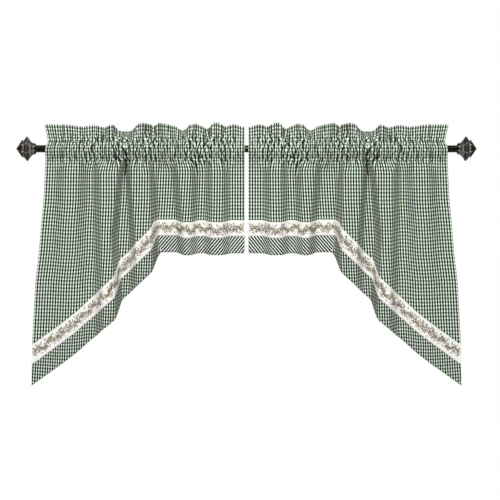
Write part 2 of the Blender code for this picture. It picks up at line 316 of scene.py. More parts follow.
# ==== threads and weave
CHECK_REPEAT = 0.0126  # one dark and one white stripe
CHECK_SQUEEZE = 0.75
CHECK_START = 0.5  # where in its repeat the check begins at the inner edge
BIAS_REPEAT = 0.0115  # the border's check is smaller
BIAS_TIGHTER = 1.16  # and closer still where it is cut on the bias
BIAS_STRETCH = 1.07  # how far the bias strip is drawn out along the hem
TAIL_TWIST = (0.66, 0.86, 0.07, 0.09)  # first and last flat place, turn of warp and weft

# Each check: its repeat, how much of it is dark, and the colours where a warp stripe
# crosses a weft stripe: white on white, white warp, white weft, dark on dark.
CHECKS = {
    "woven_check": (CHECK_REPEAT, 0.55, (
        (0.885, 0.940, 0.840), (0.290, 0.400, 0.282),
        (0.019, 0.046, 0.026), (0.003, 0.009, 0.005))),
    "woven_check_bias": (BIAS_REPEAT, 0.64, (
        (0.93, 0.96, 0.91), (0.740, 0.810, 0.740),
        (0.006, 0.015, 0.009), (0.002, 0.006, 0.004))),
    "woven_check_slope": (BIAS_REPEAT, 0.56, (
        (0.88, 0.93, 0.84), (0.240, 0.335, 0.240),
        (0.012, 0.030, 0.018), (0.002, 0.006, 0.004))),
}
STRIPE_EDGE = 0.015  # half the soft edge of a stripe, as a share of the repeat
# Painted shade: the check's colour is made darker and warmer where the cloth faces
# sideways, on the folds' flanks.
FOLD_PAINTED_SHADE = (0.74, 0.69, 0.68)  # what the check's colour is multiplied by facing sideways
BAND_COLOURS = (
    (0.82, 0.82, 0.785),  # main cream
    (0.775, 0.76, 0.705),  # its slubs
    (0.77, 0.74, 0.67),  # where the warp lies on top
)
YARN = 0.00042  # from one yarn to the next
YARN_EDGE = 0.7  # how soft one yarn's edge is, up to 1
YARN_DEPTH = 0.00008
YARN_BUMP = 0.5
YARN_SHADE = 0.5  # how much a striped crossing changes with the yarn on top
SLUB_SHADE = 0.16
BAND_YARN_SHADE = 0.12
BAND_MOTTLE = (0.35, 0.75)  # values of the noise where the slubs start and are full

# Running stitches: the pitch, the part of it that shows, and the thread.
STITCH_PITCH = 0.0026
STITCH_SHARE = 0.78
STITCH_WIDTH = 0.0004
STITCH_HEIGHT = 0.0003
STITCH_COLOUR = (0.16, 0.22, 0.18)
SIDE_HEM = 0.006
SIDE_HEM_ENDS = 0.004  # the side hems' stitches end this far from the edges
SEAM_INSET = 0.002  # the band's stitches, inside its edges
LOWER_HEM = 0.009
LINE_SAMPLES = 600  # places along the rod, a side edge and the band to measure lengths
SIDE_SAMPLES = 400
BAND_SAMPLES = 1700

# Points and faces of one raised stitch. It dives at both ends, points 0 and 7.
RIDGES = (0.22, 0.78)  # shares of the length where the thread is full
DIVE = -0.3  # depth of an end for each unit of height
STITCH_FACES = ((2, 1, 0), (3, 2, 0), (1, 3, 0), (2, 5, 4, 1), (3, 6, 5, 2), (1, 4, 6, 3),
                (4, 5, 7), (5, 6, 7), (6, 4, 7))

STEM_TABLE = (
    # wave, swing, start, thread
    (0.058, 0.0085, 0.4, "brown"),
    (0.051, 0.0090, 3.6, "olive"),
)
STEM_DRIFT = 0.6  # furthest that a stem's wave drifts, radians
STEM_STITCH = 0.0021
STEM_LAP = 0.0007  # each stem stitch runs this far past the next one's start
VINE_SEED = 5
CORNER_ROUNDING = 0.012  # how far the vine cuts the band's corner
THREAD_HEIGHT = 0.0005
THREAD_WIDTH = 0.0010
THREAD_HEIGHTS = (0.8, 1.3)  # least and greatest share of the thread's height
THREAD_WIDTHS = (0.9, 1.15)

# Least and greatest of what changes from leaf to leaf and from curl to curl.
LEAF_PITCHES = (0.0052, 0.0086)  # along a stem
LEAF_LENGTHS = (0.0060, 0.0110)
LEAF_ANGLES = (0.35, 1.20)  # between leaf and stem
LEAF_SHAPES = (0.36, 0.50)  # width for each unit of length
LEAF_SLANT = 0.45  # lean of a leaf's stitches
CURL_PITCHES = (0.0068, 0.0105)
CURL_RADII = (0.0044, 0.0068)
CURL_ANGLES = (0.3, 1.1)
CURL_TURN = 4.3  # how far round a curl goes, radians
CURL_CLOSING = 0.4  # share of its radius that it loses on the way
CURL_WIDTH = 0.0030

# Flowers, with berries ahead of each, and small blooms and buds near the band's edges.
PETALS = 5
PETAL_PARTS = (-0.38, -0.19, 0.0, 0.19, 0.38)
FLOWER_PITCHES = (0.020, 0.034)
FLOWER_RADIUS = 0.0050
FLOWER_HEART = 0.0028  # diameter
FLOWER_SWING = 0.007  # furthest off the band's middle
FLOWER_TURN = 1.2  # furthest turned, as are the blooms and dots below
BERRIES = 3
BERRY_SIZE = 0.0030
BERRY_SWING = 0.015
BERRY_AHEAD = (0.009, 0.017)
BLOOM_RADIUS = 0.0037
BLOOM_SHIFT = 0.010
BLOOM_TURN = 1.5
BLOOM_OUT = (0.0150, 0.0180)  # from the band's middle
BUD_SIZE = 0.0024
BUD_AHEAD = (0.006, 0.012)
BUD_OUT = (0.0150, 0.0195)
DOT_TURN = 3.0

# How far the stems, leaves, curls and flowers stay from the band's ends.
STEM_ENDS = (0.003, 0.004)
LEAF_END = 0.004
CURL_END = 0.006
FLOWER_END = 0.012
VINE_ENDS = (0.002, 0.003)  # a stitch that comes nearer is left out

LEAF_THREADS = 3 * ("khaki",) + 3 * ("olive",) + 2 * ("taupe",) + ("tan", "brown")
CURL_THREADS = ("tan", "tan", "khaki", "taupe", "brown")
BERRY_THREADS = ("brown", "tan", "taupe")
THREAD_SHADES = ((0.7, 0.0), (1.35, 0.01))  # deepest and palest: colour times, and more
THREAD_SPREAD = (0.3, 0.7)  # values of the noise at the deepest and the palest
THREAD_DEPTH = 0.00015
THREAD_BUMP = 0.6
THREADS = {
    "olive": (0.150, 0.140, 0.045),
    "khaki": (0.300, 0.260, 0.115),
    "tan": (0.300, 0.205, 0.085),
    "taupe": (0.150, 0.115, 0.080),
    "brown": (0.050, 0.030, 0.017),
    "mauve": (0.430, 0.340, 0.450),
    "sage": (0.210, 0.225, 0.130),
}

# Bronze: deep colour, colour where rubbed (on the finials also the colour of the painted
# highlight), lowest roughness, lacquer.
ROD_BRONZE = ((0.004, 0.003, 0.002), (0.010, 0.008, 0.006), 0.14, 0.12)
FINIAL_BRONZE = ((0.034, 0.030, 0.025), (0.76, 0.71, 0.62), 0.28, 0.3)
BRONZE_SPECKS = 0.4
BRONZE_DEPTH = 0.00015
BRONZE_BUMP = 0.4
WORN_ROUGHNESS = 0.12  # added where the bronze is worn
ROD_PATCHES = (0.44, 0.70)  # wear starts and is full at these values of the noise
FINIAL_PATCHES = (0.44, 0.72)

# Rings on a finial besides its corners: rubbed at the rims, a painted highlight on the
# shoulder, and all painted brightest on the front side as a highlight.
RUBBED_AND_HIGHLIGHT_RINGS = (
    # distance out from the rod's end, half width, how strongly
    (0.0190, 0.0046, 1.00),
    (0.0302, 0.0016, 0.50),
    (0.0425, 0.0026, 0.60),
)
RING_WANDER = 0.004  # how far a ring wanders in and out
RINGS_AWAY_FROM_HIGHLIGHT = 0.35  # how strongly the rings show on all sides but the front one
HIGHLIGHT_SIDE_EDGE = 0.1  # how soft the front side's edges are, as a share of half its width
RUBBED_CORNER = 0.09  # share of a side that is rubbed at each corner
CORNER_WANDER = 0.25
FULLY_RUBBED = 0.2  # share of a rubbed width where the wear is at its full strength
RUBBED_PATCHES = 0.35

# ==== camera and light
CAMERA_DISTANCE = 6.0
CAMERA_ACROSS = 0.0123
CAMERA_HEIGHT = -0.356
FRAME_WIDTH = 1.7585  # width of the picture at the rod
SENSOR = 36.0
WHITE = (1.0, 1.0, 1.0)
GLOW_COLOUR = (0.98, 0.99, 1.0)
GLOW = (0.95, 0.05)  # of the surroundings: added straight above and below, all round
GLOW_POWER = 4.0
FLOOR_HEIGHT = -1.5
FLOOR_SIZE = 3.4
FLOOR_COLOUR = (0.80, 0.80, 0.79)
LIGHTS = (
    # name, place, size, power
    ("key", (-0.2, -4.6, 2.2), 1.2, 258.0),
    ("left", (-1.5, -4.4, 2.2), 0.6, 20.0),
    ("right", (1.5, -4.4, 2.2), 0.6, 20.0),
    ("back", (0.8, 3.6, 2.4), 2.4, 50.0),
)
LIGHT_AIM = (0.0, 0.0, -0.3)


# ==== shape of the cloth
def columns(table):
    """Split a table into one array for each of its named columns."""
    return np.array(table, dtype=float).T


def smooth_step(start, end, value):
    share = np.clip((value - start) / (end - start), 0.0, 1.0)
    return share * share * (3.0 - 2.0 * share)


def eased(value, places, sizes):
    """Read a table with a soft slope at each of its points."""
    position = np.interp(value, places, np.arange(len(places)))
    index = np.clip(position.astype(int), 0, len(places) - 2)
    ease = 0.5 - 0.5 * np.cos(np.pi * (position - index))
    return sizes[index] + (sizes[index + 1] - sizes[index]) * ease


def path_length(first, second):
    """Length along a plane curve, up to each of its points."""
    steps = np.hypot(np.diff(first), np.diff(second))
    return np.concatenate([[0.0], np.cumsum(steps)])


def unit(vectors):
    return vectors / np.linalg.norm(vectors, axis=-1, keepdims=True)


def fold_depth(across, height):
    """Depth of the long folds: a soft step at each flank, from the inner edge on."""
    total = np.full_like(across, INNER_DEPTH)
    for row in FOLD_TABLE:
        place = np.interp(-height, FOLD_DROPS, row[0:3])
        width = np.interp(-height, (FOLD_DROPS[0], FOLD_DROPS[-1]), row[3:5])
        step = np.interp(-height, FOLD_DROPS, row[5:8])
        total = total + step * smooth_step(place - width / 2, place + width / 2, across)
    return total


def gather_depth(across, width):
    """Depth of the gathers: a wave, a quarter turn short of whole at each valley."""
    valleys, sizes = columns(GATHER_TABLE)
    numbers = np.arange(len(valleys)) + 0.75
    places = np.concatenate([[0.0], valleys, [EDGE_TABLE[-1][1]]])
    turns = np.concatenate([[0.25], numbers, [len(valleys) + 0.25]])
    phase = np.interp(across * places[-1] / width, places, turns)
    return np.interp(phase, numbers, sizes) * np.sin(2 * np.pi * phase)


def cross_section(height, fullness):
    """One level of the cloth: place across, depth, and length along the weft."""
    width = np.interp(height, *columns(EDGE_TABLE))
    across = np.linspace(0.0, width, WEFT_SAMPLES)
    folds = smooth_step(*FOLD_START, height)
    gathers = 1.0 - smooth_step(*GATHER_FADE, height)
    fold_share = HEADING_FOLD_SHARE + (fullness - HEADING_FOLD_SHARE) * folds
    depth = fold_share * fold_depth(across, height)
    depth = depth + fullness * gathers * gather_depth(across, width)
    return across, depth, path_length(across, depth)


def level_profile(height):
    """Deepen the folds at one level until the whole flat width is used up."""
    low, high = 0.0, FULLNESS_LIMIT
    for _ in range(FULLNESS_HALVINGS):
        middle = (low + high) / 2
        if cross_section(height, middle)[2][-1] < FLAT_WIDTH:
            low = middle
        else:
            high = middle
    across, depth, length = cross_section(height, low)
    length = length * FLAT_WIDTH / length[-1]
    flat = np.arange(0.0, FLAT_WIDTH + PROFILE_STEP, PROFILE_STEP)
    return np.interp(flat, length, across), np.interp(flat, length, depth)


def wave_places(shortest, longest, seed):
    """Seeded places of small waves along the flat width, and a size for each."""
    rng = np.random.default_rng(seed)
    steps = rng.uniform(shortest, longest, int(FLAT_WIDTH / shortest) + 2)
    places = np.cumsum(steps)
    return places, rng.uniform(*WAVE_SIZES, len(places))


def small_waves(flat, waves):
    """How far small waves stand out, as a share of their depth."""
    places, sizes = waves
    turns = np.interp(flat, places, np.arange(len(places)))
    return np.sin(2 * np.pi * turns) * np.interp(flat, places, sizes)


class Hang:
    """The cloth's surface, read by flat place across and rise along the cloth."""

    def __init__(self):
        drop = LONG_DROP + 2 * LEVEL_STEP + POCKET_BOTTOM
        self.levels = POCKET_BOTTOM - np.arange(0.0, drop, LEVEL_STEP)
        self.grids = np.stack([level_profile(height) for height in self.levels], axis=1)
        self.puckers = [(wave_places(*row[:3]), *row[3:]) for row in PUCKER_ROWS]
        self.frill = wave_places(*FRILL)
        rng = np.random.default_rng(CRUMPLE_SEED)
        shape = (3, CRUMPLE_WAVES)
        lengths = rng.uniform(*CRUMPLE_LENGTHS, shape)
        leans = rng.uniform(-CRUMPLE_LEAN, CRUMPLE_LEAN, shape)
        self.waves = np.stack([
            2 * np.pi * np.cos(leans) / lengths, 2 * np.pi * np.sin(leans) / lengths,
            rng.uniform(0.0, 2 * np.pi, shape), lengths / lengths.mean()], axis=-1)

    def read(self, flat, height):
        """Place across and depth at a flat place and a height, kept inside the tables."""
        _, rows, count = self.grids.shape
        row = np.clip((self.levels[0] - height) / LEVEL_STEP, 0, rows - 1.001)
        column = np.clip(flat / PROFILE_STEP, 0, count - 1.001)
        i, j = row.astype(int), column.astype(int)
        a, b = row - i, column - j
        upper = self.grids[:, i, j] * (1 - b) + self.grids[:, i, j + 1] * b
        lower = self.grids[:, i + 1, j] * (1 - b) + self.grids[:, i + 1, j + 1] * b
        return upper * (1 - a) + lower * a

    def flat_at(self, across):
        """Flat place of a distance across the heading."""
        heading = self.grids[0, 0]
        return np.interp(across, heading, np.arange(len(heading)) * PROFILE_STEP)

    def middle(self, flat, rise):
        """Point at a flat place across and a rise along the cloth from the axis."""
        flat, rise = np.broadcast_arrays(np.asarray(flat, float), np.asarray(rise, float))
        across, depth = self.read(flat, rise)
        header = np.maximum(rise - POCKET_TOP, 0.0)
        dip = eased(across, *columns(DIP_TABLE))
        leaning = LEAN_SHARE * np.maximum(dip, 0.0)
        lean = np.arccos(np.clip(1.0 - leaning / HEADER_HEIGHT, -1.0, 1.0))
        slump = 1.0 - (dip - leaning) / HEADER_HEIGHT
        height = np.minimum(rise, POCKET_TOP) + header * slump * np.cos(lean)
        back = header * slump * np.sin(lean)
        flare = np.interp(rise, *columns(FLARE_TABLE))
        across = across + flare * (flat / FLAT_WIDTH) ** FLARE_POWER
        height = height - CREST_DROP * smooth_step(*CREST_START, rise) * depth
        return np.stack([across, back - depth, height], axis=-1)

    def facing(self, flat, rise):
        """Unit normal of the middle surface, towards the front."""
        weft = self.middle(flat + NORMAL_STEP, rise) - self.middle(flat - NORMAL_STEP, rise)
        warp = self.middle(flat, rise + NORMAL_STEP) - self.middle(flat, rise - NORMAL_STEP)
        return unit(np.cross(weft, warp))

    def raised(self, flat, rise, lift):
        """Point that stands a lift in front of the middle surface."""
        lift = np.broadcast_to(lift, np.broadcast(flat, rise).shape)
        return self.middle(flat, rise) + self.facing(flat, rise) * lift[..., None]

    def relief(self, flat, rise):
        """How far the puckers, the frilled top and the creases stand out."""
        upper = smooth_step(POCKET_TOP, RUFFLE_TOP, rise)
        total = FRILL_DEPTH * upper * small_waves(flat, self.frill)
        drift = PUCKER_SLANT * np.sin(2 * np.pi * flat / PUCKER_SLANT_WAVE)
        for waves, height, depth, above, below in self.puckers:
            away = rise - height
            fading = np.exp(-(away / np.where(away > 0.0, above, below)) ** 2)
            total = total + depth * small_waves(flat + drift * away, waves) * fading
        for across, top, bottom, slant, half_width, depth in CREASE_TABLE:
            middle, half = (top + bottom) / 2, (top - bottom) / 2
            place = self.flat_at(across) + slant * (rise - middle)
            along = np.clip(1.0 - ((rise - middle) / half) ** 2, 0.0, 1.0)
            total = total - depth * along * np.exp(-((flat - place) / half_width) ** 2)
        return total

    def crumple(self, flat, rise):
        """Small leaning waves of the gathered cloth: outward, across and up."""
        places, sizes = columns(CRUMPLE_PATCHES)
        strength = eased(rise, *columns(CRUMPLE_TABLE))
        strength = strength * eased(flat, self.flat_at(places), sizes)
        spread = strength * math.sqrt(2.0 / CRUMPLE_WAVES)
        return [spread * sum(size * np.sin(across * flat + up * rise + start)
                             for across, up, start, size in waves) for waves in self.waves]

    def layer(self, flat, rise, lift=0.0, side=1):
        """Point on the front (1) or back (-1) layer, clear of the rod."""
        flat, rise = np.broadcast_arrays(np.asarray(flat, float), np.asarray(rise, float))
        parted = 1.0 - smooth_step(*LAYERS_MEET, rise)
        outward, aside, up = self.crumple(flat, rise)
        relief = self.relief(flat, rise) + CRUMPLE_OUT * outward
        point = self.raised(flat, rise, side * (parted * LAYER_SPACING / 2 + lift) + relief)
        inside = np.clip(np.minimum(flat, FLAT_WIDTH - flat) / CRUMPLE_EDGE, 0.0, 1.0)
        point[..., 0] += CRUMPLE_ASIDE * aside * inside
        point[..., 2] += CRUMPLE_UP * up
        above = np.sqrt(np.clip(1.0 - (rise / POCKET_TOP) ** 2, 0.0, 1.0))
        below = np.cos(np.clip(rise / POCKET_BOTTOM, 0.0, 1.0) * np.pi / 2)
        point[..., 1] -= side * POCKET_DEPTH * np.where(rise > 0.0, above, below)
        around_rod = np.sqrt(np.maximum(ROD_CLEARANCE ** 2 - point[..., 2] ** 2, 0.0))
        pushed = -side * np.maximum(-side * point[..., 1], around_rod + lift)
        point[..., 1] = np.where(around_rod > 0.0, pushed, point[..., 1])
        return point


def slope_share(flat):
    """How far along the sloping part of the hem a flat place is, from the tail's point."""
    return np.clip((FLAT_WIDTH - flat) / SLOPE_RUN, 0.0, 1.0)


def slope_at(flat):
    """How fast the sloping part of the hem falls at a flat place."""
    return STEADY_SLOPE * (TAIL_SLOPE + (CORNER_SLOPE - TAIL_SLOPE) * slope_share(flat))


def sloping_line(flat, width):
    """The sloping line that stays a width above the hem."""
    share = slope_share(flat)
    gained = TAIL_SLOPE * share + (CORNER_SLOPE - TAIL_SLOPE) * share ** 2 / 2
    rise = STEADY_SLOPE * gained * SLOPE_RUN - LONG_DROP
    return rise + width * np.sqrt(1.0 + slope_at(flat) ** 2)


def cut_line(flat, width):
    """A line parallel to the hem, the given width above it on the flat cloth."""
    return np.minimum(sloping_line(flat, width), width - SHORT_DROP)


# ==== meshes
def link(name, data):
    """A new object of the scene."""
    made = bpy.data.objects.new(name, data)
    bpy.context.scene.collection.objects.link(made)
    return made


def make_mesh(name, points, faces, materials):
    mesh = bpy.data.meshes.new(name)
    mesh.from_pydata(points, [], faces)
    for material in materials:
        mesh.materials.append(material)
    return mesh


def make_object(name, suffix, points, faces, materials, indices=None):
    """A mesh object from points of the +X half, mirrored for the left."""
    name, side = name + suffix, SIDES[suffix]
    places = np.array(points, dtype=float).reshape(-1, 3)
    places = places * (side, 1.0, 1.0) + (side * INNER_EDGE, 0.0, 0.0)
    mesh = make_mesh(name, places.tolist(), [face[::side] for face in faces], materials)
    if indices is not None:
        mesh.polygons.foreach_set("material_index", indices)
    mesh.shade_smooth()
    return link(name, mesh)


def at_corners(grid):
    """Values of a grid's points, at the four corners of each of its faces."""
    return np.stack([grid[:-1, :-1], grid[:-1, 1:], grid[1:, 1:], grid[1:, :-1]], axis=2)


def make_sheet(name, suffix, points, corner_uv, materials, thickness, indices=None):
    """A grid of cloth with the weave's own coordinates, thickened to both sides."""
    rows, count = points.shape[:2]
    quads = at_corners(np.arange(rows * count).reshape(rows, count)).reshape(-1, 4)
    piece = make_object(name, suffix, points, quads.tolist(), materials, indices)
    layer = piece.data.uv_layers.new(name="weave")
    layer.data.foreach_set("uv", corner_uv.reshape(-1, 4, 2)[:, ::SIDES[suffix]].ravel())
    thicken = piece.modifiers.new("cloth", "SOLIDIFY")
    thicken.thickness = thickness
    thicken.offset = 0.0
    return piece


def thread_mesh(place, start, end, width, height):
    """Points and faces of stitches: each a closed ridge that dives at both ends.

    place(flat, rise, lift) gives points, and start and end are (flat, rise) pairs.
    """
    along = end - start
    across = unit(np.stack([-along[:, 1], along[:, 0]], axis=-1))
    half = across * np.reshape(width / 2, (-1, 1))
    parts = [(start, DIVE)]
    for share in RIDGES:
        centre = start + along * share
        parts += [(centre - half, 0.0), (centre, 1.0), (centre + half, 0.0)]
    parts.append((end, DIVE))
    spots = np.stack([spot for spot, _ in parts], axis=1)
    lift = np.outer(np.broadcast_to(height, len(start)), [share for _, share in parts])
    points = place(spots[..., 0], spots[..., 1], lift)
    faces = [tuple(len(parts) * n + i for i in face)
             for n in range(len(start)) for face in STITCH_FACES]
    return points.reshape(-1, 3), faces


# ==== materials
class Value:
    """A number in a node tree, with Python's own signs of arithmetic."""

    def __init__(self, nodes, socket):
        self.nodes, self.socket = nodes, socket

    def math(self, operation, *others):
        inputs = dict(enumerate((self, *others)))
        return self.nodes.value("Math", inputs, operation=operation)

    def __add__(self, other):
        return self.math("ADD", other)

    def __sub__(self, other):
        return self.math("SUBTRACT", other)

    def __mul__(self, other):
        return self.math("MULTIPLY", other)

    def __truediv__(self, other):
        return self.math("DIVIDE", other)

    def __abs__(self):
        return self.math("ABSOLUTE")

    def step(self, low, high):
        """0 up to low and 1 from high on, or the other way round, soft between."""
        inputs = {"Value": self, "From Min": low, "From Max": high}
        return self.nodes.value("MapRange", inputs, interpolation_type="SMOOTHSTEP")


class Nodes:
    """Short hand for building a tree of shader nodes."""

    def __init__(self, tree):
        self.tree = tree

    def put(self, value, socket):
        """Give an input a link, a colour or a number."""
        if isinstance(value, Value):
            value = value.socket
        if isinstance(value, bpy.types.NodeSocket):
            self.tree.links.new(value, socket)
        else:
            socket.default_value = (*value, 1.0) if isinstance(value, tuple) else value

    def add(self, kind, inputs=None, **settings):
        """Outputs of a new node, with its settings and some of its inputs filled in."""
        node = self.tree.nodes.new("ShaderNode" + kind)
        for name, value in settings.items():
            setattr(node, name, value)
        for key, value in (inputs or {}).items():
            self.put(value, node.inputs[key])
        return node.outputs

    def value(self, kind, inputs, **settings):
        return Value(self, self.add(kind, inputs, **settings)[0])

    def mix(self, share, first, second, blend="MIX"):
        inputs = {0: share, 6: first, 7: second}
        return self.add("Mix", inputs, data_type="RGBA", blend_type=blend)[2]

    def noise(self, vector, scale, detail):
        return self.value("TexNoise", {"Vector": vector, "Scale": scale, "Detail": detail})

    def split(self, vector):
        return [Value(self, part) for part in self.add("SeparateXYZ", {0: vector})]

    def join(self, x, y, z):
        return self.add("CombineXYZ", {"X": x, "Y": y, "Z": z})[0]

    def place(self):
        return self.add("TexCoord")["Object"]

    def mirrored_place(self):
        """Object coordinates that are the same on both sides of the middle."""
        x, y, z = self.split(self.place())
        return self.join(abs(x), y, z)

    def sideways(self):
        """Square of how far the surface faces along the rod."""
        x = self.split(self.add("NewGeometry")["Normal"])[0]
        return x * x

    def round_normal(self):
        """Normal of a round bar that lies along the X axis."""
        _, y, z = self.split(self.place())
        return self.add("VectorMath", {0: self.join(0.0, y, z)}, operation="NORMALIZE")[0]


class Finish(Nodes):
    """A material that is built round one principled shader."""

    def __init__(self, name, **settings):
        self.material = bpy.data.materials.new(name)
        self.material.use_nodes = True
        super().__init__(self.material.node_tree)
        self.shader = self.tree.nodes["Principled BSDF"]
        for socket, value in settings.items():
            self.set(socket.replace("_", " "), value)

    def set(self, socket, value):
        self.put(value, self.shader.inputs[socket])

    def bump(self, height, distance, strength, normal=None):
        inputs = {"Height": height, "Distance": distance, "Strength": strength}
        if normal is not None:
            inputs["Normal"] = normal
        self.set("Normal", self.add("Bump", inputs)["Normal"])

    def weave(self):
        """The weave's coordinates, and 1 where the warp lies on top, 0 where the weft."""
        uv = self.add("UVMap", uv_map="weave")["UV"]
        u, v, _ = self.split(uv)
        turn = math.pi / YARN
        over = (u * turn).math("SINE") * (v * turn).math("SINE")
        top = over.step(-YARN_EDGE, YARN_EDGE)
        self.bump(abs(top - 0.5), YARN_DEPTH, YARN_BUMP)
        return uv, u, v, top


def stripe(place, repeat, dark):
    """1 in the dark share of each repeat of the check, with a yarn's soft edge."""
    away = abs((place / repeat).math("FRACT") - 0.5)
    edge = (1.0 - dark) / 2
    return away.step(edge - STRIPE_EDGE, edge + STRIPE_EDGE)


def check_material(name, repeat, dark_share, crossings):
    """Yarn-dyed check, from a row of the checks' table, with painted shade on the folds'
    flanks.
    """
    nodes = Finish(name, Roughness=0.88, Sheen_Weight=0.08, Sheen_Roughness=0.5,
                   Specular_IOR_Level=0.2)
    white, weft_dark, warp_dark, dark = crossings
    uv, u, v, top = nodes.weave()
    across, down = stripe(u, repeat, dark_share), stripe(v, repeat, dark_share)
    on_white, on_dark = nodes.mix(down, white, weft_dark), nodes.mix(down, warp_dark, dark)
    colour = nodes.mix(across, on_white, on_dark)
    # Painted shade, darker and warmer the more the cloth faces sideways.
    colour = nodes.mix(nodes.sideways(), colour, FOLD_PAINTED_SHADE, "MULTIPLY")
    tone = abs(across - down) * (top - 0.5) * YARN_SHADE + 1.0
    slub = (nodes.noise(uv, scale=55.0, detail=3.0) - 0.5) * SLUB_SHADE + 1.0
    nodes.set("Base Color", nodes.mix(1.0, colour, slub * tone, "MULTIPLY"))
    return nodes.material


def band_material(name):
    """Cream cotton with a close plain weave and faint slubs."""
    nodes = Finish(name, Roughness=0.85, Sheen_Weight=0.1, Specular_IOR_Level=0.25)
    cream, slub, warp = BAND_COLOURS
    uv, _, _, top = nodes.weave()
    mottle = nodes.noise(uv, scale=90.0, detail=4.0).step(*BAND_MOTTLE)
    colour = nodes.mix(mottle, cream, slub)
    nodes.set("Base Color", nodes.mix(top * BAND_YARN_SHADE, colour, warp))
    return nodes.material


def thread_material(name, colour):
    """Embroidery thread: a soft sheen and shades that change from place to place."""
    nodes = Finish(name, Roughness=0.5, Sheen_Weight=0.2)
    spot = nodes.place()
    shade = nodes.noise(spot, scale=160.0, detail=2.0).step(*THREAD_SPREAD)
    deep, pale = [tuple(times * part + more for part in colour)
                  for times, more in THREAD_SHADES]
    nodes.set("Base Color", nodes.mix(shade, deep, pale))
    nodes.bump(nodes.noise(spot, scale=2600.0, detail=1.0), THREAD_DEPTH, THREAD_BUMP)
    return nodes.material


def bronze_material(name, find_wear_and_highlight, deep, rubbed_and_highlight, roughness, lacquer, is_round=False):
    """Oil-rubbed bronze: nearly black, and lighter where it is worn and, on the finials,
    where a highlight is painted.
    """
    nodes = Finish(name, Metallic=0.8, Coat_Weight=lacquer, Coat_Roughness=0.08)
    spot = nodes.mirrored_place()
    wear_and_highlight = find_wear_and_highlight(nodes, spot)
    fine = nodes.noise(spot, scale=480.0, detail=4.0)
    worn_and_highlight = nodes.mix(wear_and_highlight, deep, rubbed_and_highlight)
    nodes.set("Base Color", nodes.mix(fine * BRONZE_SPECKS, worn_and_highlight, deep))
    nodes.set("Roughness", wear_and_highlight * WORN_ROUGHNESS + roughness)
    nodes.bump(fine, BRONZE_DEPTH, BRONZE_BUMP, nodes.round_normal() if is_round else None)
    return nodes.material


def rod_wear(nodes, spot):
    """The rod is worn in faint patches."""
    return nodes.noise(spot, scale=95.0, detail=6.0).step(*ROD_PATCHES)


def finial_wear_and_highlight(nodes, spot):
    """A finial is rubbed along its corners and rims and faintly in patches; a highlight is
    painted as a ring on its shoulder, and all rings are painted brightest on the front
    side.
    """
    x, y, z = nodes.split(spot)
    uneven = nodes.noise(spot, scale=330.0, detail=4.0) - 0.5
    angle = z.math("ARCTAN2", y)
    side = math.pi / FINIAL_SIDES
    corner = abs((angle / (2 * side)).math("FRACT") - 0.5) + uneven * CORNER_WANDER
    wear_and_highlight = corner.step(RUBBED_CORNER, FULLY_RUBBED * RUBBED_CORNER)
    low, high = [math.pi - side * (1.0 + edge) for edge in (HIGHLIGHT_SIDE_EDGE, -HIGHLIGHT_SIDE_EDGE)]
    # Painted highlight: the rings show strongest on the side that faces the front.
    front = abs(angle).step(low, high) * (1.0 - RINGS_AWAY_FROM_HIGHLIGHT) + RINGS_AWAY_FROM_HIGHLIGHT
    out = x - (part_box("rod")[1][0] + FACE_GAP)
    for place, half, strength in RUBBED_AND_HIGHLIGHT_RINGS:
        away = abs(out - place) + uneven * RING_WANDER
        ring = away.step(half, FULLY_RUBBED * half) * strength
        wear_and_highlight = wear_and_highlight.math("MAXIMUM", ring * front)
    patches = nodes.noise(spot, scale=150.0, detail=5.0).step(*FINIAL_PATCHES)
    return wear_and_highlight.math("MAXIMUM", patches * RUBBED_PATCHES)


# ==== cloth pieces
def panel_rows(flat):
    """Rise of each row up the front, and of each row down the back."""
    bottom = cut_line(flat, BAND_TOP - SEAM_LAP)
    share = np.linspace(0.0, 1.0, BODY_ROWS, endpoint=False)[:, None]
    turn = POCKET_BOTTOM - TURN_UNDER
    heights = np.concatenate([
        np.linspace(BODY_TOP, turn, GATHERED_ROWS, endpoint=False),
        np.linspace(turn, POCKET_TOP, POCKET_ROWS, endpoint=False),
        np.linspace(POCKET_TOP, RUFFLE_TOP, HEADER_ROWS)])
    level = np.repeat(heights[:, None], len(flat), axis=1)
    front = np.concatenate([bottom + (BODY_TOP - bottom) * share, level])
    return front, level[GATHERED_ROWS:][::-1]


def panel_surface(hang, flat):
    """The panel's points, with the top fold rounded, and each row's warp length."""
    front_rise, back_rise = panel_rows(flat)
    front, back = hang.layer(flat, front_rise), hang.layer(flat, back_rise, side=-1)
    centre, half = (front[-1] + back[0]) / 2, (front[-1] - back[0]) / 2
    up = unit(hang.middle(flat, RUFFLE_TOP) - hang.middle(flat, RUFFLE_TOP - FOLD_AIM))
    angle = np.pi * np.arange(1, FOLD_ROWS + 1)[:, None, None] / (FOLD_ROWS + 1)
    fold = centre + half * np.cos(angle) + up * np.sin(angle) * LAYER_SPACING / 2
    points = np.concatenate([front, fold, back])
    steps = np.linalg.norm(np.diff(points[BODY_ROWS:], axis=0), axis=-1).mean(axis=-1)
    body = front_rise[:BODY_ROWS + 1]
    return points, np.concatenate([body, body[-1] + np.cumsum(steps)[:, None]])


def make_panel(hang, suffix, material):
    """The panel, its length along the warp and its flat area."""
    flat = np.linspace(0.0, FLAT_WIDTH, PANEL_COLUMNS)
    points, warp = panel_surface(hang, flat)
    weft = flat / CHECK_SQUEEZE + CHECK_START * CHECK_REPEAT
    uv = np.stack([np.broadcast_to(weft, warp.shape), warp], axis=-1)
    piece = make_sheet("panel_cloth_", suffix, points, at_corners(uv), [material], CLOTH)
    length = warp[-1] - warp[0]
    return piece, float(length.max()), float(length.mean() * FLAT_WIDTH)


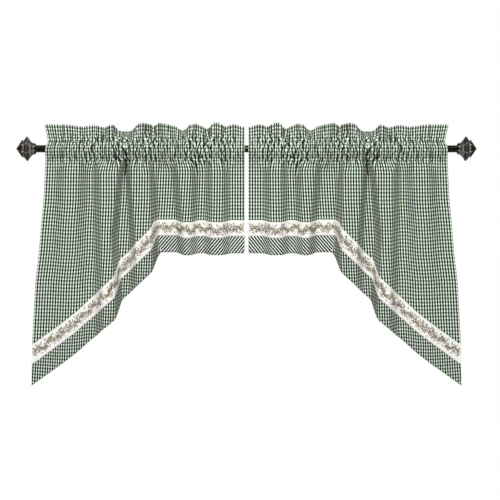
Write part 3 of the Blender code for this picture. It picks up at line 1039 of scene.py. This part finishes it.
def strip_weave(flat, width, rise, bias):
    """Weave coordinates of a strip along the hem: straight part, sloping part.

    Cut on the bias, the check lies slanted along the straight part, and upright
    where the strip slopes. Otherwise the weave follows the strip.
    """
    if not bias:
        slope = slope_at(flat)
        along = flat * np.hypot(1.0, slope) - width * slope
        return np.stack([flat, width], axis=-1), np.stack([along, width], axis=-1)
    across = flat / CHECK_SQUEEZE
    drawn = across / BIAS_STRETCH
    slanted = np.stack([drawn + width, width - drawn], axis=-1)
    start, end, warp_turn, weft_turn = TAIL_TWIST
    twist = smooth_step(start, end, flat)
    upright = np.stack([across + warp_turn * twist * (rise + LONG_DROP),
                        rise - weft_turn * twist * (flat - end)], axis=-1)
    return slanted * BIAS_TIGHTER / math.sqrt(2), upright


def make_strip(hang, name, suffix, lower, upper, lift, materials, thickness, bias):
    """A strip between two lines parallel to the hem, and its length.

    The last of its materials goes on the sloping part.
    """
    places = np.linspace(0.0, FLAT_WIDTH, STRIP_COLUMNS)
    flat, width = np.meshgrid(places, np.linspace(lower, upper, STRIP_ROWS))
    rise = cut_line(flat, width)
    straight, sloping = strip_weave(flat, width, rise, bias)
    slopes = sloping_line(flat, width) < width - SHORT_DROP
    on_slope = at_corners(slopes).mean(axis=2) > 0.5
    uv = np.where(on_slope[:, :, None, None], at_corners(sloping), at_corners(straight))
    indices = (on_slope * (len(materials) - 1)).ravel()
    points = hang.raised(flat, rise, lift)
    piece = make_sheet(name, suffix, points, uv, materials, thickness, indices)
    return piece, float(path_length(places, cut_line(places, (lower + upper) / 2))[-1])


# ==== stitches
def stitch_row(flat, rise):
    """Start and end of each running stitch along a line on the flat cloth."""
    length = path_length(flat, rise)
    begins = np.arange(STITCH_PITCH / 2, length[-1] - STITCH_PITCH, STITCH_PITCH)
    return [np.stack([np.interp(places, length, flat), np.interp(places, length, rise)], -1)
            for places in (begins, begins + STITCH_PITCH * STITCH_SHARE)]


def make_stitches(hang, suffix, material):
    """Rows of sewing on the front: the pocket, the side hems, the band and the hem."""
    points, faces = [], []

    def sew(place, base, flat, rise):
        more, shapes = thread_mesh(
            lambda across, up, lift: place(across, up, base + lift),
            *stitch_row(flat, rise), STITCH_WIDTH, STITCH_HEIGHT)
        faces.extend(tuple(len(points) + i for i in face) for face in shapes)
        points.extend(more)

    flat = np.linspace(0.0, FLAT_WIDTH, LINE_SAMPLES)
    for rise in (POCKET_TOP, POCKET_BOTTOM):
        sew(hang.layer, CLOTH / 2, flat, np.full_like(flat, rise))
    for place in (SIDE_HEM, FLAT_WIDTH - SIDE_HEM):
        low = float(cut_line(place, BAND_TOP + SIDE_HEM_ENDS))
        line = np.linspace(low, RUFFLE_TOP - SIDE_HEM_ENDS, SIDE_SAMPLES)
        sew(hang.layer, CLOTH / 2, np.full_like(line, place), line)
    for inset in (BORDER_WIDTH + SEAM_INSET, BAND_TOP - SEAM_INSET):
        sew(hang.raised, BAND_LIFT + CLOTH / 2, flat, cut_line(flat, inset))
    sew(hang.raised, FOLDED_CLOTH / 2, flat, cut_line(flat, LOWER_HEM))
    return make_object("stitches_", suffix, points, faces, [material])


# ==== embroidery
class BandLine:
    """The band's middle line on the flat cloth, its corner rounded for the vine."""

    def __init__(self):
        flat = np.linspace(0.0, FLAT_WIDTH, BAND_SAMPLES)
        rise = cut_line(flat, BORDER_WIDTH + BAND_WIDTH / 2)
        reach = int(CORNER_ROUNDING / (flat[1] - flat[0]))
        weights = np.hanning(2 * reach + 1)
        padded = np.pad(rise, reach, mode="reflect", reflect_type="odd")
        rise = np.convolve(padded, weights / weights.sum(), mode="valid")
        self.flat, self.rise = flat, rise
        self.length = path_length(flat, rise)
        self.angle = np.arctan2(np.gradient(rise), np.gradient(flat))

    def spot(self, place):
        """Flat cloth coordinates of (along, across) pairs on the band."""
        along, across = place[..., 0], place[..., 1]
        angle = np.interp(along, self.length, self.angle)
        flat = np.interp(along, self.length, self.flat) - across * np.sin(angle)
        rise = np.interp(along, self.length, self.rise) + across * np.cos(angle)
        return np.stack([flat, rise], axis=-1)


def turned(points, angle, centre):
    """Points turned about the origin and moved to a centre."""
    cos, sin = math.cos(angle), math.sin(angle)
    return points @ np.array([(cos, sin), (-sin, cos)]) + centre


def stitch_shares(length, closeness, least=1):
    """Middles of the stitches that fill a length side by side, as shares of it."""
    count = max(least, round(length / (THREAD_WIDTH * closeness)))
    return (np.arange(count) + 0.5) / count


def satin_leaf(length, width, closeness=0.95, fewest=5, fullness=0.8):
    """Stitches across a leaf that starts at the origin and points along +x."""
    share = stitch_shares(length, closeness, fewest)
    half = width / 2 * np.sin(np.pi * share ** fullness) ** fullness
    spine, aside = share * length, LEAF_SLANT * half
    return np.stack([np.stack([spine + way * aside, way * half], axis=-1)
                     for way in (-1, 1)], axis=1)


def satin_curl(radius, way, closeness=0.85, bluntness=0.4):
    """Stitches across a curl that leaves the origin along +x and winds to one side."""
    share = stitch_shares(CURL_TURN * radius * (1.0 - CURL_CLOSING / 2), closeness)
    turn = CURL_TURN * share
    reach = radius * (1.0 - CURL_CLOSING * share)
    half = CURL_WIDTH / 2 * np.sin(np.pi * share) ** bluntness
    rim = np.stack([np.sin(turn), -way * np.cos(turn)], axis=-1)
    return np.stack([rim * (reach + step)[:, None] + (0.0, way * radius)
                     for step in (-half, half)], axis=1)


def satin_flower(radius, eye=0.28, pointed=0.9):
    """Stitches of a round flower: a fan for each petal."""
    part = np.tile(PETAL_PARTS, PETALS)
    angle = 2 * np.pi * (np.repeat(np.arange(PETALS), len(PETAL_PARTS)) + part) / PETALS
    heading = radius * np.stack([np.cos(angle), np.sin(angle)], axis=-1)
    return np.stack([eye * heading, (1.0 - pointed * part ** 2)[:, None] * heading], axis=1)


def satin_dot(diameter, closeness=0.9, fewest=3):
    """Parallel stitches that fill a small round berry."""
    offset = stitch_shares(diameter, closeness, fewest) * diameter - diameter / 2
    half = np.sqrt(np.maximum((diameter / 2) ** 2 - offset ** 2, 0.0))
    return np.stack([np.stack([way * half, offset], axis=-1) for way in (-1, 1)], axis=1)


class Garland:
    """The band's stitches in (along, across) pairs, with a thread for each.

    Two stems wind along the band and wander apart and together. Leaves and curls lie
    along both, with flowers, berries and small blooms at uneven places.
    """

    def __init__(self, length):
        self.length = length
        self.rng = np.random.default_rng(VINE_SEED)
        self.stitches, self.threads = [], []
        for row in STEM_TABLE:
            self.sew_stem(*row)
        along = FLOWER_END
        while along < length - FLOWER_END:
            self.sew_flower(along)
            along += self.rng.uniform(*FLOWER_PITCHES)

    def sew(self, shape, thread, angle=0.0, centre=(0.0, 0.0)):
        self.stitches.append(turned(shape, angle, centre))
        self.threads.extend([list(THREADS).index(thread)] * len(shape))

    def sew_stem(self, wave, swing, start, thread):
        """A stem and all that grows along it."""
        length, rng = self.length, self.rng
        places = np.arange(STEM_ENDS[0], length - STEM_ENDS[1], STEM_STITCH)
        drift = np.interp(places, np.arange(0.0, length + wave, wave),
                          rng.uniform(-STEM_DRIFT, STEM_DRIFT, int(length / wave) + 2))
        heights = swing * np.sin(2 * math.pi * places / wave + start + drift)
        line = np.stack([places, heights], axis=-1)
        self.sew(np.stack([line[:-1], line[1:] + (STEM_LAP, 0.0)], axis=1), thread)
        climb = np.arctan(np.gradient(heights, places))

        def root(along):
            """Height of the stem, and its heading."""
            return np.interp(along, places, heights), np.interp(along, places, climb)

        along = LEAF_END
        while along < length - LEAF_END:
            height, heading = root(along)
            for way in (1.0, -1.0):
                size, angle = rng.uniform(*LEAF_LENGTHS), rng.uniform(*LEAF_ANGLES)
                colour = rng.choice(LEAF_THREADS)
                leaf = satin_leaf(size, rng.uniform(*LEAF_SHAPES) * size)
                self.sew(leaf, colour, heading + way * angle, (along, height))
            along += rng.uniform(*LEAF_PITCHES)
        along, way = CURL_END, 1.0
        while along < length - CURL_END:
            height, heading = root(along)
            angle = heading + way * rng.uniform(*CURL_ANGLES)
            curl = satin_curl(rng.uniform(*CURL_RADII), way)
            self.sew(curl, rng.choice(CURL_THREADS), angle, (along, height))
            along, way = along + rng.uniform(*CURL_PITCHES), -way

    def sew_flower(self, along):
        """A flower with its berries, and a bloom and a bud near each edge of the band."""
        rng = self.rng
        spot = (along, rng.uniform(-FLOWER_SWING, FLOWER_SWING))
        self.sew(satin_flower(FLOWER_RADIUS), "khaki", rng.uniform(0, FLOWER_TURN), spot)
        self.sew(satin_dot(FLOWER_HEART), "brown", rng.uniform(0, DOT_TURN), spot)
        for _ in range(BERRIES):
            ahead, aside = rng.uniform(*BERRY_AHEAD), rng.uniform(-BERRY_SWING, BERRY_SWING)
            angle = rng.uniform(0, DOT_TURN)
            thread = rng.choice(BERRY_THREADS)
            self.sew(satin_dot(BERRY_SIZE), thread, angle, (along + ahead, aside))
        for side, thread in ((1.0, "sage"), (-1.0, "mauve")):
            place = along + rng.uniform(-BLOOM_SHIFT, BLOOM_SHIFT)
            spot = (place, side * rng.uniform(*BLOOM_OUT))
            self.sew(satin_flower(BLOOM_RADIUS), thread, rng.uniform(0, BLOOM_TURN), spot)
            spot = (place + rng.uniform(*BUD_AHEAD), side * rng.uniform(*BUD_OUT))
            self.sew(satin_dot(BUD_SIZE), thread, rng.uniform(0, DOT_TURN), spot)

    def kept(self):
        """The stitches that stay clear of the band's ends, and their threads."""
        stitches, threads = np.concatenate(self.stitches), np.array(self.threads)
        low, high = stitches[..., 0].min(axis=1), stitches[..., 0].max(axis=1)
        clear = (low > VINE_ENDS[0]) & (high < self.length - VINE_ENDS[1])
        return stitches[clear], threads[clear]


def make_vine(hang, suffix, materials):
    """The band's embroidery as one mesh of raised threads."""
    line = BandLine()
    stitches, threads = Garland(line.length[-1]).kept()
    rng = np.random.default_rng(VINE_SEED + 1)
    width = THREAD_WIDTH * rng.uniform(*THREAD_WIDTHS, len(threads))
    height = THREAD_HEIGHT * rng.uniform(*THREAD_HEIGHTS, len(threads))
    points, faces = thread_mesh(
        lambda across, up, lift: hang.raised(across, up, BAND_LIFT + CLOTH / 2 + lift),
        line.spot(stitches[:, 0]), line.spot(stitches[:, 1]), width, height)
    indices = np.repeat(threads, len(STITCH_FACES))
    return make_object("vine_", suffix, points, faces, materials, indices)


# ==== finials
def make_finial(suffix, material):
    """An eight-sided turned finial with soft edges, flat side to the front."""
    turn = math.pi / FINIAL_SIDES
    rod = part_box("rod")
    end = (rod[1][0] if suffix == "right" else -rod[0][0]) + FACE_GAP - INNER_EDGE
    points, faces = [(end + FINIAL_OUTLINE[0][0], 0.0, 0.0)], []
    for out, radius in FINIAL_OUTLINE[1:-1]:
        corner = radius / math.cos(turn)
        points += [(end + out, corner * math.cos(turn + 2 * turn * k),
                    corner * math.sin(turn + 2 * turn * k)) for k in range(FINIAL_SIDES)]
    last = len(points)
    points.append((end + FINIAL_OUTLINE[-1][0], 0.0, 0.0))
    for k in range(FINIAL_SIDES):
        n = (k + 1) % FINIAL_SIDES
        faces.append((0, 1 + k, 1 + n))
        for a in range(1, last - FINIAL_SIDES, FINIAL_SIDES):
            b = a + FINIAL_SIDES
            faces.append((a + k, b + k, b + n, a + n))
        faces.append((last - FINIAL_SIDES + k, last, last - FINIAL_SIDES + n))
    piece = make_object("finial_turned_", suffix, points, faces, [material])
    piece.data.shade_flat()
    soften = piece.modifiers.new("soft edges", "BEVEL")
    soften.width = FINIAL_BEVEL
    soften.segments = 2
    soften.limit_method = "ANGLE"
    soften.harden_normals = True
    return piece


# ==== stage
def make_surroundings():
    """White behind the picture, and a soft glow that comes mostly from above and below."""
    scene = bpy.context.scene
    scene.view_settings.view_transform = "Standard"
    scene.view_settings.look = "None"
    scene.world = bpy.data.worlds.new("studio")
    scene.world.use_nodes = True
    nodes = Nodes(scene.world.node_tree)
    nodes.tree.nodes.clear()
    upward = nodes.split(nodes.add("TexCoord")["Generated"])[2]
    strength = upward.math("POWER", GLOW_POWER) * GLOW[0] + GLOW[1]
    glow = nodes.add("Background", {"Color": GLOW_COLOUR, "Strength": strength})[0]
    seen = nodes.add("Background", {"Color": WHITE, "Strength": 1.0})[0]
    by_camera = nodes.add("LightPath")["Is Camera Ray"]
    shown = nodes.add("MixShader", {0: by_camera, 1: glow, 2: seen})[0]
    nodes.add("OutputWorld", {"Surface": shown})


def make_stage():
    """A pale floor out of the picture, and soft frontal light."""
    half = FLOOR_SIZE / 2
    corners = [(x, y, FLOOR_HEIGHT)
               for x, y in ((-half, -half), (half, -half), (half, half), (-half, half))]
    finish = Finish("pale_floor", Roughness=0.9, Base_Color=FLOOR_COLOUR).material
    link("floor", make_mesh("floor", corners, [(0, 1, 2, 3)], [finish]))
    for name, place, size, power in LIGHTS:
        lamp = bpy.data.lights.new(name, "AREA")
        lamp.size = size
        lamp.energy = power
        light = link(name, lamp)
        light.location = place
        x, y, z = np.subtract(LIGHT_AIM, place)
        tilt = math.pi / 2 + math.atan2(z, math.hypot(x, y))
        light.rotation_euler = (tilt, 0.0, math.atan2(-x, y))


def make_camera():
    data = bpy.data.cameras.new("camera")
    data.sensor_width = SENSOR
    data.lens = SENSOR * CAMERA_DISTANCE / FRAME_WIDTH
    camera = link("camera", data)
    camera.location = (CAMERA_ACROSS, -CAMERA_DISTANCE, CAMERA_HEIGHT)
    camera.rotation_euler = (math.pi / 2, 0.0, 0.0)
    bpy.context.scene.camera = camera


# ==== the whole drape
def put_in_place(piece, node=None):
    """Say where a piece rides, which solid it replaces, if any."""
    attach(piece, "root")
    if node:
        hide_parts(node)


def dress_half(hang, suffix, checks, cream, sewing, threads):
    """One half: its three sheets, its stitches and its vine, in place of the solids."""
    panel, panel_length, panel_area = make_panel(hang, suffix, checks[0])
    band, band_length = make_strip(
        hang, "band_cloth_", suffix, BORDER_WIDTH, BAND_TOP, BAND_LIFT,
        [cream], CLOTH, bias=False)
    border, border_length = make_strip(
        hang, "border_cloth_", suffix, 0.0, BORDER_WIDTH + SEAM_LAP, 0.0,
        checks[1:], FOLDED_CLOTH, bias=True)
    stitches = make_stitches(hang, suffix, sewing)
    vine = make_vine(hang, suffix, threads)
    put_in_place(panel, "panel_" + suffix)
    put_in_place(band, "band_" + suffix)
    put_in_place(border, "border_" + suffix)
    put_in_place(stitches)
    put_in_place(vine)


def main():
    make_camera()
    make_surroundings()
    make_stage()
    rod_finish = bronze_material("rod_bronze", rod_wear, *ROD_BRONZE, is_round=True)
    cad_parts["rod"].material_slots[0].material = rod_finish
    finial_finish = bronze_material("finial_bronze", finial_wear_and_highlight, *FINIAL_BRONZE)
    checks = [check_material(name, *look) for name, look in CHECKS.items()]
    cream = band_material("cream_cotton")
    sewing = thread_material("sewing_thread", STITCH_COLOUR)
    threads = [thread_material("thread_" + name, colour)
               for name, colour in THREADS.items()]
    hang = Hang()
    for suffix in SIDES:
        put_in_place(make_finial(suffix, finial_finish), "finial_" + suffix)
        dress_half(hang, suffix, checks, cream, sewing, threads)


main()
